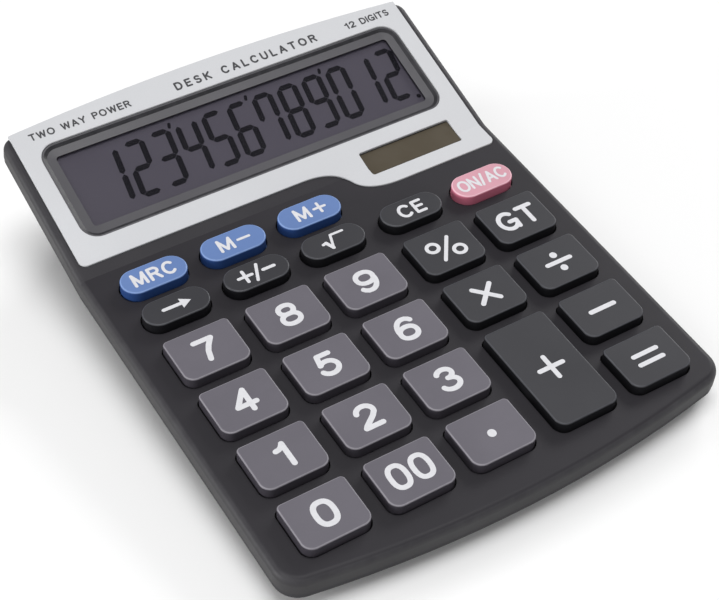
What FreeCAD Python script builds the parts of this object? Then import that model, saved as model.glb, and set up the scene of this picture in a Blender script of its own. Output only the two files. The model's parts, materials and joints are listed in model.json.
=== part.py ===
import FreeCAD, Part
import math
import os

V = FreeCAD.Vector

# Desk calculator with a flat key deck and a display section that is folded up from it.
# Lengths are millimetres and angles are degrees.
# "Flat" coordinates are used for most pieces: x to the right, y to the rear from the
# fold line, z up from the casing's top surface, as if the casing were not folded yet.

# ---- casing ----
BODY_WIDTH = 104.6
DECK_LENGTH = 91.4  # fold line to the front edge, on the centre line
DISPLAY_LENGTH = 42.15  # fold line to the rear edge, on the centre line
FOLD_ANGLE = 14.4  # display section against the key deck
DECK_TILT = 5.0  # key deck against the table
FRONT_RADIUS = 276.0
REAR_RADIUS = 580.0
FRONT_CORNER = 5.5
REAR_CORNER = 3.0
RIM_HEIGHT = 5.35
RIM_EDGE = 1.6
CASING_TOP = 1.8
CASING_WALL = 2.0
INNER_FRONT_CORNER = 1.0  # least corner radii of the drawn-in outlines
INNER_REAR_CORNER = 0.6

# ---- keys ----
KEY_PITCH = 19.0
KEY_PITCH_WIDE = 20.0  # between the third and the fourth column
FIRST_COLUMN = -38.3
FUNCTION_ROW = -7.2  # upper row of oval keys
SECOND_ROW = -17.4  # lower row of oval keys
DIGIT_ROW = -31.1  # first row of large keys
ROW_PITCH = 15.385
KEY_WIDTH = 15.0
KEY_HEIGHT = 12.0
KEY_REAR_CORNER = 1.1
KEY_FRONT_CORNER = 2.4
OVAL_WIDTH = 15.1
OVAL_HEIGHT = 7.1
KEY_RISE = 2.35  # key tops above the casing
KEY_EDGE = 0.4
KEY_TRAVEL = 1.2
DOME_SPARE = 0.3  # dome height left when a key is fully down
KEY_CLEARANCE = 0.35  # around a key in its hole
KEY_WALL = 1.2
KEY_ROOF = 1.4
KEY_CORNER_LEAST = 0.3
TAB_REACH = 0.7
TAB_LENGTH = 5.0
TAB_END = 1.75  # least distance from a tab to the key's corner
TAB_THICKNESS = 0.6
TAB_GAP = 0.1
PLUNGER_RADIUS = 2.0

# ---- keypad and key board ----
DOME_BASE_RADIUS = 3.3
DOME_TOP_RADIUS = 2.3
DOME_WALL = 0.5
TOUCH_GAP = 0.05  # between pieces that rest on each other
SHEET_THICKNESS = 0.7
SHEET_INSET = 0.3  # sheet edge inside the board's edge
BOARD_THICKNESS = 1.2
BOARD_HALF_WIDTH = 46.7
BOARD_FRONT = -82.2
BOARD_REAR = -3.3
NOTCH_WIDTH = 2.9
NOTCH_LENGTH = 8.4
NOTCH_CORNER = 0.5
BOARD_CORNER = 1.0
POST_RADIUS = 1.7
POST_CLEARANCE = 0.3
POST_ROOT = 0.2  # overlap of a post with the casing's top
BOARD_SCREW_PILOT = 0.7
BOARD_HOLE_CLEARANCE = 0.15
SHANK_GAP = 0.05  # plain shank in its pilot hole
SCREW_POINT = 0.2
BOARD_SCREW_RADIUS = 0.8
BOARD_SCREW_LENGTH = 3.6
BOARD_SCREW_HEAD_RADIUS = 1.7
BOARD_SCREW_HEAD_HEIGHT = 1.0
BOARD_SCREW_HEAD_EDGE = 0.4
BOARD_SCREW_TIP = 0.6
BOARD_RECESS_DEPTH = 0.5
BOARD_RECESS_REACH = 0.9

# ---- display plate ----
PLATE_HALF_WIDTH = 50.25
PLATE_LEFT_EDGE = 3.0
PLATE_RIGHT_EDGE = -6.6
CURVE_START = 3.7
CURVE_END = 24.7
WAVE_FULLNESS = 0.42  # straight run at each end of the wave
WAVE_SHIFT = 0.4  # the wave's sideways move when the outline grows
PLATE_CORNER = 1.6
PLATE_RISE = 0.3
PLATE_THICKNESS = 0.7
PLATE_EDGE = 0.2
ADHESIVE_THICKNESS = 0.1
ADHESIVE_INSET = 1.0
PLATE_CLEARANCE = 0.1

# ---- display window ----
WINDOW_WIDTH = 92.4
WINDOW_HEIGHT = 26.1
WINDOW_CENTRE = 21.55
WINDOW_CORNER = 4.1
WINDOW_CORNER_LEAST = 0.8
BEZEL_CLEARANCE = 0.1
BEZEL_BORDER = 3.25
BEZEL_RIM = 0.35
BEZEL_STEEP = 0.75  # width of the steep outer slope
BEZEL_STEEP_DEPTH = 0.5
BEZEL_DEPTH = 0.7
BEZEL_LIP = 0.2
BEZEL_FLANGE = 1.0
BEZEL_FLANGE_THICKNESS = 1.0
LENS_THICKNESS = 0.5
LENS_OVERLAP = 1.3
LCD_INSET = 2.1  # panel edge inside the window's edge
LCD_THICKNESS = 2.2
LCD_CLEARANCE = 0.15  # in its seat in the bezel
LCD_MARGIN = 0.6  # rear glass beyond the connector
GLASS_CORNER = 0.3
SEAT_CORNER = 0.5
REFLECTOR_INSET = 1.0
REFLECTOR_CORNER = 0.5
REFLECTOR_THICKNESS = 0.25
CONNECTOR_HEIGHT = 2.8
CONNECTOR_WIDTH = 2.0
CONNECTOR_LENGTH = 70.0
CONNECTOR_INSET = 0.2
DISPLAY_BOARD_HALF_WIDTH = 36.5
DISPLAY_BOARD_FRONT = 2.8
DISPLAY_BOARD_REAR = 30.8
DISPLAY_BOARD_THICKNESS = 1.0

# ---- solar cell ----
SOLAR_CENTRE = 31.72
SOLAR_WIDTH = 24.3
SOLAR_FRONT = -2.35
SOLAR_REAR = 4.46
SOLAR_RISE = 0.25  # window above the fold line, so that it is nearly flush with the plate
SOLAR_CORNER = 0.5
SOLAR_CLEARANCE = 0.12
SOLAR_FLANGE = 0.9
SOLAR_FLANGE_THICKNESS = 0.7
SOLAR_CELL_WIDTH = 25.6
SOLAR_CELL_LENGTH = 8.4
SOLAR_CELL_THICKNESS = 1.1
SOLAR_CELL_CORNER = 0.2

# ---- rear cover ----
COVER_INSET = 1.8
COVER_WALL = 1.5
COVER_RIM = 1.4  # flush band of the cover below the casing
COVER_RIM_INSET = 0.15
BOARD_TO_COVER = 0.3
PARTING_GAP = 0.15
LIP_GAP = 0.15
LIP_THICKNESS = 1.2
LIP_RISE = 1.5
LIP_ROOT = 0.6
HOOK_X = 25.0
HOOK_WIDTH = 8.0
HOOK_REACH = 0.8
HOOK_HEIGHT = 0.9
HOOK_CLEARANCE = 0.2
HOOK_ABOVE_SEAM = 0.75
HOOK_ROOT = 1.4
BASE_HEIGHT = 1.0  # underside of the cover above the table
BASE_HALF_WIDTH = 40.0
BASE_FRONT = -80.5
BASE_REAR = 35.5
BASE_CORNER = 5.0
BASE_EDGE = 0.8

# ---- screws, feet ----
BOSS_RADIUS = 1.9
CASE_SCREW_PILOT = 0.85
PILOT_END_WALL = 0.6
CASE_SCREW_SINK = 0.1
CASE_SCREW_LENGTH = 5.2
CASE_SCREW_HEAD_RADIUS = 1.9
CASE_SCREW_HEAD_HEIGHT = 0.95
CASE_SCREW_TIP = 0.8
CASE_RECESS_DEPTH = 0.6
CASE_RECESS_REACH = 1.1
SCREW_HOLE_CLEARANCE = 0.15
CASE_SCREW_X = 28.8
CASE_SCREW_FRONT = -84.5
LEFT_SCREW = (-46.2, 2.0)
RIGHT_SCREW = (46.5, -9.0)
FOOT_RADIUS = 4.0
FOOT_EDGE = 0.3
FOOT_SEAT_DEPTH = 0.6
FOOT_CLEARANCE = 0.1
FOOT_X = 33.0
FOOT_FRONT = -73.5
FOOT_REAR = 27.0

# ---- battery and its door ----
BATTERY_RADIUS = 5.8
BATTERY_HEIGHT = 5.4
BATTERY_CAP_RADIUS = 4.7
BATTERY_CAP_HEIGHT = 0.5
BATTERY_EDGE = 0.5
BATTERY_Y = 23.0
WELL_CLEARANCE = 0.4
WELL_WALL = 1.2
WELL_ROOF = 1.2
CELL_HEADROOM = 0.1  # between the cell, its contacts and the well's roof
CONTACT_THICKNESS = 0.3
CONTACT_WIDTH = 4.0
CONTACT_GAP = 0.1  # upright contact beside the cell
CONTACT_WALL_GAP = 0.15  # solder tab outside the well's wall
CONTACT_LIFT = 0.3  # upright contact above the cell's lower face
CONTACT_HEIGHT = 3.5
CONTACT_REACH = 4.0  # upper contact past the cell's centre
TAB_RISE = 1.0  # solder tabs above the well
SLOT_CLEARANCE = 0.2
SLOT_MARGIN = 1.5  # the slots' run on both sides of the well's wall
DOOR_HALF_WIDTH = 11.0
DOOR_TONGUE = 1.4
DOOR_FRONT = 13.0
DOOR_GAP = 0.3
DOOR_SKIN = 0.7
DOOR_TONGUE_THICKNESS = 0.7
SHELF_THICKNESS = 1.2
GRIP_COUNT = 5
GRIP_PITCH = 1.6
GRIP_WIDTH = 0.7
GRIP_DEPTH = 0.3
GRIP_START = 3.0  # first groove from the door's rear edge
GRIP_MARGIN = 4.0

# ---- small electrical pieces ----
CHIP_RADIUS = 6.0
CHIP_HEIGHT = 1.5
CHIP_PLACE = (-21.0, 17.0)
CAPACITOR_PLACE = (20.0, 24.0)
DIODE_PLACE = (22.0, 17.5)
RESISTOR_PLACES = [(12.0, 12.0), (16.0, 12.0), (20.0, 12.0)]
CAPACITOR_RADIUS = 2.0
CAPACITOR_LENGTH = 7.0
DIODE_RADIUS = 0.9
DIODE_LENGTH = 3.6
RESISTOR_SIZE = (2.0, 1.25, 0.5)
CABLE_X = 2.0
CABLE_WIDTH = 18.0
CABLE_THICKNESS = 0.25
CABLE_END = 4.5  # length soldered to each board
CABLE_EDGE = 0.4  # bend of the cable from a board's edge
CABLE_SAG_PLACES = (0.3, 0.7)  # share of the way from board to board
CABLE_SAG = 1.0
CABLE_GAP = 0.02
WIRE_RADIUS = 0.45
BATTERY_WIRE_ENDS = (22.5, 18.5)  # y on the display board of the plus and minus wire
BATTERY_WIRE_BOW = 1.5
SOLAR_WIRE_PLACES = (22.0, 34.0)
SOLAR_WIRE_START = 4.6
SOLAR_WIRE_END = 5.4

# ---- sizes that follow ----
half_width = BODY_WIDTH / 2
half_fold = FOLD_ANGLE / 2
display_tilt = DECK_TILT + FOLD_ANGLE
dome_height = KEY_TRAVEL + DOME_SPARE
tab_top = -CASING_TOP - TAB_GAP
key_bottom = tab_top - TAB_THICKNESS
dome_top = key_bottom - TOUCH_GAP
sheet_top = dome_top - dome_height
board_top = sheet_top - SHEET_THICKNESS
board_bottom = board_top - BOARD_THICKNESS
lcd_width = WINDOW_WIDTH - 2 * LCD_INSET
lcd_height = WINDOW_HEIGHT - 2 * LCD_INSET
pocket_floor = PLATE_RISE - PLATE_THICKNESS - ADHESIVE_THICKNESS
cover_floor = board_bottom - BOARD_TO_COVER
tray_bottom = cover_floor - COVER_WALL
seam = -RIM_HEIGHT + COVER_RIM
cover_front = -DECK_LENGTH + COVER_INSET
tilt_sin = math.sin(math.radians(DECK_TILT))
tilt_cos = math.cos(math.radians(DECK_TILT))
fold_height = BASE_HEIGHT - cover_front * tilt_sin - tray_bottom * tilt_cos
base_bottom = BASE_HEIGHT - fold_height
base_top = base_bottom + COVER_WALL
tab_place = BATTERY_RADIUS + WELL_CLEARANCE + WELL_WALL + CONTACT_WALL_GAP

columns = [FIRST_COLUMN, FIRST_COLUMN + KEY_PITCH, FIRST_COLUMN + 2 * KEY_PITCH]
columns += [columns[2] + KEY_PITCH_WIDE, columns[2] + KEY_PITCH_WIDE + KEY_PITCH]
rows = [FUNCTION_ROW, SECOND_ROW] + [DIGIT_ROW - n * ROW_PITCH for n in range(4)]
tall_height = KEY_HEIGHT + ROW_PITCH
tall_row = (rows[4] + rows[5]) / 2

# name, column, y, size
oval = (OVAL_WIDTH, OVAL_HEIGHT)
large = (KEY_WIDTH, KEY_HEIGHT)
KEYS = [
    ("key_mrc", 0, rows[0], oval),
    ("key_memory_minus", 1, rows[0], oval),
    ("key_memory_plus", 2, rows[0], oval),
    ("key_backspace", 0, rows[1], oval),
    ("key_sign", 1, rows[1], oval),
    ("key_root", 2, rows[1], oval),
    ("key_ce", 3, rows[1], oval),
    ("key_on_ac", 4, rows[1], oval),
    ("key_7", 0, rows[2], large),
    ("key_8", 1, rows[2], large),
    ("key_9", 2, rows[2], large),
    ("key_percent", 3, rows[2], large),
    ("key_gt", 4, rows[2], large),
    ("key_4", 0, rows[3], large),
    ("key_5", 1, rows[3], large),
    ("key_6", 2, rows[3], large),
    ("key_times", 3, rows[3], large),
    ("key_divide", 4, rows[3], large),
    ("key_1", 0, rows[4], large),
    ("key_2", 1, rows[4], large),
    ("key_3", 2, rows[4], large),
    ("key_minus", 4, rows[4], large),
    ("key_0", 0, rows[5], large),
    ("key_00", 1, rows[5], large),
    ("key_point", 2, rows[5], large),
    ("key_plus", 3, tall_row, (KEY_WIDTH, tall_height)),
    ("key_equals", 4, rows[5], large),
]

between_columns = [(a + b) / 2 for a, b in zip(columns, columns[1:])]
between_rows = [(a + b) / 2 for a, b in zip(rows[2:], rows[3:])]
BOARD_POSTS = (
    [(between_columns[0], y) for y in between_rows]
    + [(between_columns[2], y) for y in between_rows[:2]]
    + [(between_columns[3], y) for y in between_rows[:2]]
    + [(between_columns[1], between_rows[2])]
)
DISPLAY_POSTS = [(-34.0, 5.0), (-10.0, 5.0), (14.0, 5.0)]
CASE_SCREWS = [
    (-CASE_SCREW_X, CASE_SCREW_FRONT),
    (CASE_SCREW_X, CASE_SCREW_FRONT),
    LEFT_SCREW,
    RIGHT_SCREW,
]


# ---- building blocks ----
def block(x0, x1, y0, y1, z0, z1):
    """A box between two corners."""
    return Part.makeBox(x1 - x0, y1 - y0, z1 - z0, V(x0, y0, z0))


def disc(x, y, z0, z1, radius):
    """An upright cylinder."""
    return Part.makeCylinder(radius, z1 - z0, V(x, y, z0))


def cone(x, y, z0, z1, r0, r1):
    """An upright cone frustum."""
    return Part.makeCone(r0, r1, z1 - z0, V(x, y, z0))


def polygon_wire(corners, z):
    """A closed wire through (x, y, corner radius) points."""
    count = len(corners)
    ends = []
    for n, (x, y, radius) in enumerate(corners):
        here = V(x, y, z)
        back = V(corners[n - 1][0], corners[n - 1][1], z) - here
        ahead = V(corners[(n + 1) % count][0], corners[(n + 1) % count][1], z) - here
        back.normalize()
        ahead.normalize()
        half = back.getAngle(ahead) / 2
        reach = radius / math.tan(half)
        middle = back + ahead
        if radius and middle.Length > 1e-9:
            middle.normalize()
            centre = here + middle * (radius / math.sin(half))
            ends.append((here + back * reach, centre - middle * radius, here + ahead * reach))
        else:
            ends.append((here, None, here))
    edges = []
    for n, (start, mid, stop) in enumerate(ends):
        if mid:
            edges.append(Part.Arc(start, mid, stop).toShape())
        after = ends[(n + 1) % count][0]
        if stop.distanceToPoint(after) > 1e-6:
            edges.append(Part.makeLine(stop, after))
    return Part.Wire(edges)


def prism(corners, z0, z1):
    """An upright prism on a polygon with rounded corners."""
    return Part.Face(polygon_wire(corners, z0)).extrude(V(0, 0, z1 - z0))


def rectangle(cx, cy, width, height, front_corner, rear_corner=None):
    """Corners of a rectangle, anticlockwise from the front left one."""
    rear = front_corner if rear_corner is None else rear_corner
    x0, x1, y0, y1 = cx - width / 2, cx + width / 2, cy - height / 2, cy + height / 2
    return [(x0, y0, front_corner), (x1, y0, front_corner), (x1, y1, rear), (x0, y1, rear)]


def edges_above(shape, x, y):
    """Upright edges of a shape that stand at x (either side) and y."""
    found = []
    for edge in shape.Edges:
        box = edge.BoundBox
        upright = box.XLength < 1e-6 and box.YLength < 1e-6
        if upright and abs(abs(box.XMin) - x) < 1e-6 and abs(box.YMin - y) < 1e-6:
            found.append(edge)
    return found


def casing_prism(inset, z0, z1):
    """The casing's flat outline, drawn in by inset, between two heights."""
    half = half_width - inset
    front_r, rear_r = FRONT_RADIUS - inset, REAR_RADIUS - inset
    front_mid, rear_mid = -DECK_LENGTH + inset, DISPLAY_LENGTH - inset
    front_side = front_mid + front_r - math.sqrt(front_r**2 - half**2)
    rear_side = rear_mid - rear_r + math.sqrt(rear_r**2 - half**2)
    a, b = V(-half, front_side, z0), V(half, front_side, z0)
    c, d = V(half, rear_side, z0), V(-half, rear_side, z0)
    front = Part.Arc(a, V(0, front_mid, z0), b).toShape()
    rear = Part.Arc(c, V(0, rear_mid, z0), d).toShape()
    wire = Part.Wire([front, Part.makeLine(b, c), rear, Part.makeLine(d, a)])
    solid = Part.Face(wire).extrude(V(0, 0, z1 - z0))
    front_corner = max(FRONT_CORNER - inset, INNER_FRONT_CORNER)
    rear_corner = max(REAR_CORNER - inset, INNER_REAR_CORNER)
    solid = solid.makeFillet(front_corner, edges_above(solid, half, front_side))
    return solid.makeFillet(rear_corner, edges_above(solid, half, rear_side))


def soften_top(solid, radius):
    """Round the edges around a prism's top face."""
    top = max(solid.Faces, key=lambda f: f.CenterOfMass.z)
    return solid.makeFillet(radius, top.Edges)


def round_bottom(solid, radius):
    """Round the edge around a round piece's lower face."""
    return solid.makeFillet(radius, [min(solid.Edges, key=lambda e: e.BoundBox.ZMax)])


def turned(shape, angle):
    """A copy that is turned about the fold line."""
    made = shape.copy()
    made.rotate(V(0, 0, 0), V(1, 0, 0), angle)
    return made


def fold(flat):
    """Fold a flat shape on the fold line and set it at the deck's tilt."""
    reach = 300.0
    deck_side = turned(block(-reach, reach, -reach, 0, -reach, reach), half_fold)
    display_side = turned(block(-reach, reach, 0, reach, -reach, reach), half_fold)
    deck = flat.common(deck_side)
    display = turned(flat, FOLD_ANGLE).common(display_side)
    return turned(deck.fuse(display).removeSplitter(), DECK_TILT)


def on_deck(flat):
    """Place a flat shape on the key deck."""
    return turned(flat, DECK_TILT)


def on_display(flat):
    """Place a flat shape on the display section."""
    return turned(flat, display_tilt)


def display_point(x, y, z):
    """A point of the display section in the upright frame."""
    return tilted(display_tilt, x, y, z)


def tilted(angle, x, y, z):
    """A point of a tilted frame in the upright frame."""
    return FreeCAD.Rotation(V(1, 0, 0), angle).multVec(V(x, y, z))


def wire_along(points, leave, arrive, radius):
    """A round wire through points that leaves and arrives in two directions."""
    curve = Part.BSplineCurve()
    curve.interpolate(Points=points, InitialTangent=leave, FinalTangent=arrive)
    path = Part.Wire(curve.toShape())
    start, ahead = curve.value(0), curve.tangent(0)[0]
    ring = Part.Wire(Part.Circle(start, ahead, radius).toShape())
    return path.makePipeShell([ring], True, True)


# ---- keys ----
def key_outline(x, y, size, grow=0.0):
    """A key's outline, or its hole's when grown."""
    width, height = size[0] + 2 * grow, size[1] + 2 * grow
    if size is oval:
        round_end = height / 2 - 0.001
        return rectangle(x, y, width, height, round_end)
    front = max(KEY_FRONT_CORNER + grow, KEY_CORNER_LEAST)
    rear = max(KEY_REAR_CORNER + grow, KEY_CORNER_LEAST)
    return rectangle(x, y, width, height, front, rear)


def key_plungers(y, size):
    """Where a key presses on its domes: two places under the tall key."""
    if size[1] > 1.5 * KEY_HEIGHT:
        return [y - ROW_PITCH / 2, y + ROW_PITCH / 2]
    return [y]


def key_cap(x, y, size):
    """A hollow cap with two side tabs and a plunger."""
    cap = soften_top(prism(key_outline(x, y, size), key_bottom, KEY_RISE), KEY_EDGE)
    half_x, tab = size[0] / 2 + TAB_REACH, min(TAB_LENGTH, size[1] - 2 * TAB_END) / 2
    cap = cap.fuse(block(x - half_x, x + half_x, y - tab, y + tab, key_bottom, tab_top))
    hollow = prism(key_outline(x, y, size, -KEY_WALL), key_bottom - 1, KEY_RISE - KEY_ROOF)
    for place in key_plungers(y, size):
        hollow = hollow.cut(disc(x, place, key_bottom - 2, KEY_RISE, PLUNGER_RADIUS))
    return cap.cut(hollow).removeSplitter()


# ---- flat outlines ----
def plate_face_corners(grow):
    """Left and right lower corners of the display plate, grown sideways and down."""
    half = PLATE_HALF_WIDTH + grow
    return half, PLATE_LEFT_EDGE - grow, PLATE_RIGHT_EDGE - grow


def plate_prism(grow, z0, z1):
    """The display plate's flat outline with its wave, cut to the casing's rear edge."""
    half, left_y, right_y = plate_face_corners(grow)
    r = PLATE_CORNER + grow
    rear = DISPLAY_LENGTH + 5
    middle = (CURVE_START + CURVE_END) / 2
    run = (CURVE_END - CURVE_START) * WAVE_FULLNESS
    shift = grow * WAVE_SHIFT
    wave = Part.BezierCurve()
    start, stop = V(CURVE_START - shift, left_y, z0), V(CURVE_END - shift, right_y, z0)
    wave.setPoles([start, start + V(run, 0, 0), V(middle, (left_y + right_y) / 2, z0)])
    wave_end = Part.BezierCurve()
    wave_end.setPoles([V(middle, (left_y + right_y) / 2, z0), stop - V(run, 0, 0), stop])
    turn = r * math.sqrt(0.5)
    edges = [
        Part.makeLine(V(-half + r, left_y, z0), start),
        wave.toShape(),
        wave_end.toShape(),
        Part.makeLine(stop, V(half - r, right_y, z0)),
        Part.Arc(
            V(half - r, right_y, z0),
            V(half - r + turn, right_y + r - turn, z0),
            V(half, right_y + r, z0),
        ).toShape(),
        Part.makeLine(V(half, right_y + r, z0), V(half, rear, z0)),
        Part.makeLine(V(half, rear, z0), V(-half, rear, z0)),
        Part.makeLine(V(-half, rear, z0), V(-half, left_y + r, z0)),
        Part.Arc(
            V(-half, left_y + r, z0),
            V(-half + r - turn, left_y + r - turn, z0),
            V(-half + r, left_y, z0),
        ).toShape(),
    ]
    return Part.Face(Part.Wire(edges)).extrude(V(0, 0, z1 - z0))


def window_corners(grow):
    """The display window's outline, grown on all sides."""
    corner = max(WINDOW_CORNER + grow, WINDOW_CORNER_LEAST)
    return rectangle(
        0, WINDOW_CENTRE, WINDOW_WIDTH + 2 * grow, WINDOW_HEIGHT + 2 * grow, corner
    )


def window_prism(grow, z0, z1):
    """The grown display window between two heights."""
    return prism(window_corners(grow), z0, z1)


def solar_prism(grow, z0, z1):
    """The solar window's outline between two heights."""
    centre = (SOLAR_FRONT + SOLAR_REAR) / 2
    size = SOLAR_WIDTH + 2 * grow, SOLAR_REAR - SOLAR_FRONT + 2 * grow
    return prism(rectangle(SOLAR_CENTRE, centre, size[0], size[1], SOLAR_CORNER), z0, z1)


def board_corners(inset):
    """Outline of the key board and its rubber sheet, notched for a screw boss."""
    half, front, rear = BOARD_HALF_WIDTH - inset, BOARD_FRONT + inset, BOARD_REAR - inset
    notch_x, notch_y = half - NOTCH_WIDTH, rear - NOTCH_LENGTH
    return [
        (-half, front, BOARD_CORNER),
        (half, front, BOARD_CORNER),
        (half, notch_y, NOTCH_CORNER),
        (notch_x, notch_y, NOTCH_CORNER),
        (notch_x, rear, BOARD_CORNER),
        (-half, rear, BOARD_CORNER),
    ]


# ---- pieces ----
def front_casing():
    """Upper shell: deck, display section, rim, key holes, pockets and posts."""
    shell = soften_top(casing_prism(0, seam, 0), RIM_EDGE)
    shell = shell.cut(casing_prism(CASING_WALL, seam - 1, -CASING_TOP))
    holes = [
        prism(key_outline(columns[c], y, size, KEY_CLEARANCE), -CASING_TOP - 1, 1)
        for _, c, y, size in KEYS
    ]
    holes.append(window_prism(0, -CASING_TOP - 1, 1))
    holes.append(solar_prism(0, -CASING_TOP - 1, 1))
    holes.append(plate_prism(PLATE_CLEARANCE, pocket_floor, 2))
    gap, half = HOOK_CLEARANCE, HOOK_WIDTH / 2 + HOOK_CLEARANCE
    low, high = hook_heights()
    wall = DISPLAY_LENGTH - CASING_WALL
    end = wall - LIP_GAP + HOOK_REACH + gap
    for x in (-HOOK_X, HOOK_X):
        holes.append(block(x - half, x + half, wall - 2, end, low - gap, high + gap))
    shell = shell.cut(Part.makeCompound(holes))
    root = -CASING_TOP + POST_ROOT
    board_face = display_board_top()
    posts = [disc(x, y, board_top, root, POST_RADIUS) for x, y in BOARD_POSTS]
    posts += [disc(x, y, board_face, root, POST_RADIUS) for x, y in DISPLAY_POSTS]
    posts += [disc(x, y, cover_floor + TOUCH_GAP, root, BOSS_RADIUS) for x, y in CASE_SCREWS]
    shell = shell.multiFuse(posts)
    key_depth = BOARD_SCREW_LENGTH - BOARD_THICKNESS
    display_depth = BOARD_SCREW_LENGTH - DISPLAY_BOARD_THICKNESS
    small, large_hole = BOARD_SCREW_PILOT, CASE_SCREW_PILOT
    pilots = [disc(x, y, board_top - 1, board_top + key_depth, small) for x, y in BOARD_POSTS]
    pilots += [
        disc(x, y, board_face - 1, board_face + display_depth, small) for x, y in DISPLAY_POSTS
    ]
    pilots += [
        disc(x, y, cover_floor - 1, -CASING_TOP - PILOT_END_WALL, large_hole)
        for x, y in CASE_SCREWS
    ]
    return fold(shell.cut(Part.makeCompound(pilots)).removeSplitter())


def hook_heights():
    """Lower and upper face of the rear hooks."""
    low = seam + HOOK_ABOVE_SEAM
    return low, low + HOOK_HEIGHT


def display_plate():
    """Silver cover plate, bent over the fold and open at both windows."""
    low, high = PLATE_RISE - PLATE_THICKNESS, PLATE_RISE
    plate = plate_prism(0, low, high).common(casing_prism(0, low - 1, high + 1))
    openings = [window_prism(0, low - 1, high + 1), solar_prism(0, low - 1, high + 1)]
    plate = plate.cut(Part.makeCompound(openings)).removeSplitter()
    return fold(soften_top(plate, PLATE_EDGE))


def plate_adhesive():
    """Double-sided sheet between the display plate and the casing."""
    low, high = pocket_floor, pocket_floor + ADHESIVE_THICKNESS
    inset = ADHESIVE_INSET
    sheet = plate_prism(-inset, low, high).common(casing_prism(inset, low - 1, high + 1))
    openings = [window_prism(inset, low - 1, high + 1), solar_prism(inset, low - 1, high + 1)]
    return fold(sheet.cut(Part.makeCompound(openings)))


def lens_top():
    """Upper face of the clear window, just below the bezel's lip."""
    return -BEZEL_DEPTH - BEZEL_LIP - TOUCH_GAP


def lcd_top():
    """Upper face of the panel's front glass."""
    return lens_top() - LENS_THICKNESS - TOUCH_GAP


def display_board_top():
    """Upper face of the board behind the panel."""
    return lcd_top() - LCD_THICKNESS - CONNECTOR_HEIGHT


def display_bezel():
    """Frame of the display window: a bevel in front, pockets for lens and panel behind."""
    rim = -TOUCH_GAP
    back = -CASING_TOP - TOUCH_GAP - BEZEL_FLANGE_THICKNESS
    body = window_prism(-BEZEL_CLEARANCE, -CASING_TOP - TOUCH_GAP, rim)
    body = body.fuse(window_prism(BEZEL_FLANGE, back, -CASING_TOP - TOUCH_GAP))
    outer = BEZEL_CLEARANCE + BEZEL_RIM
    levels = [
        polygon_wire(window_corners(-outer), rim),
        polygon_wire(window_corners(-outer - BEZEL_STEEP), -BEZEL_STEEP_DEPTH),
        polygon_wire(window_corners(-BEZEL_BORDER), -BEZEL_DEPTH),
    ]
    for pair in (levels[:2], levels[1:]):
        body = body.cut(Part.makeLoft(pair, True, True))
    seat = LENS_OVERLAP + BEZEL_CLEARANCE - BEZEL_BORDER
    panel_width, panel_height = lcd_width + 2 * LCD_CLEARANCE, lcd_height + 2 * LCD_CLEARANCE
    panel = rectangle(0, WINDOW_CENTRE, panel_width, panel_height, SEAT_CORNER)
    cuts = [
        prism(window_corners(-BEZEL_BORDER), back - 1, -BEZEL_DEPTH),
        prism(window_corners(seat), back - 1, lens_top() + TOUCH_GAP),
        prism(panel, back - 1, lcd_top() + TOUCH_GAP),
    ]
    return on_display(body.cut(Part.makeCompound(cuts)).removeSplitter())


def display_lens():
    """Clear window in the bezel."""
    grow = LENS_OVERLAP - BEZEL_BORDER
    return on_display(window_prism(grow, lens_top() - LENS_THICKNESS, lens_top()))


def lcd_panel():
    """Two glass sheets, the rear one longer to carry the contact ledge."""
    top = lcd_top()
    half = LCD_THICKNESS / 2
    ledge = CONNECTOR_WIDTH + LCD_MARGIN
    middle = WINDOW_CENTRE + ledge / 2
    front = rectangle(0, WINDOW_CENTRE, lcd_width, lcd_height, GLASS_CORNER)
    rear = rectangle(0, middle, lcd_width, lcd_height - ledge, GLASS_CORNER)
    return on_display(
        prism(front, top - half, top).fuse(prism(rear, top - 2 * half, top - half)).removeSplitter()
    )


def lcd_reflector():
    """Reflecting foil behind the panel."""
    top = lcd_top() - LCD_THICKNESS
    ledge = CONNECTOR_WIDTH + LCD_MARGIN
    width = lcd_width - 2 * REFLECTOR_INSET
    height = lcd_height - ledge - 2 * REFLECTOR_INSET
    sheet = rectangle(0, WINDOW_CENTRE + ledge / 2, width, height, REFLECTOR_CORNER)
    return on_display(prism(sheet, top - REFLECTOR_THICKNESS, top))


def lcd_connector():
    """Rubber strip that joins the panel's ledge to the display board."""
    front = WINDOW_CENTRE - lcd_height / 2 + CONNECTOR_INSET
    half = CONNECTOR_LENGTH / 2
    return on_display(
        block(
            -half,
            half,
            front,
            front + CONNECTOR_WIDTH,
            display_board_top(),
            lcd_top() - LCD_THICKNESS / 2,
        )
    )


def display_board():
    """Small circuit board behind the panel."""
    top = display_board_top()
    half = DISPLAY_BOARD_HALF_WIDTH
    centre = (DISPLAY_BOARD_FRONT + DISPLAY_BOARD_REAR) / 2
    length = DISPLAY_BOARD_REAR - DISPLAY_BOARD_FRONT
    outline = rectangle(0, centre, 2 * half, length, BOARD_CORNER)
    board = prism(outline, top - DISPLAY_BOARD_THICKNESS, top)
    radius = BOARD_SCREW_RADIUS + BOARD_HOLE_CLEARANCE
    holes = [disc(x, y, top - 5, top + 5, radius) for x, y in DISPLAY_POSTS]
    return on_display(board.cut(Part.makeCompound(holes)))


def key_board():
    """Circuit board under the keypad."""
    board = prism(board_corners(0), board_bottom, board_top)
    radius = BOARD_SCREW_RADIUS + BOARD_HOLE_CLEARANCE
    holes = [disc(x, y, board_bottom - 1, board_top + 1, radius) for x, y in BOARD_POSTS]
    return on_deck(board.cut(Part.makeCompound(holes)))


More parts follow.
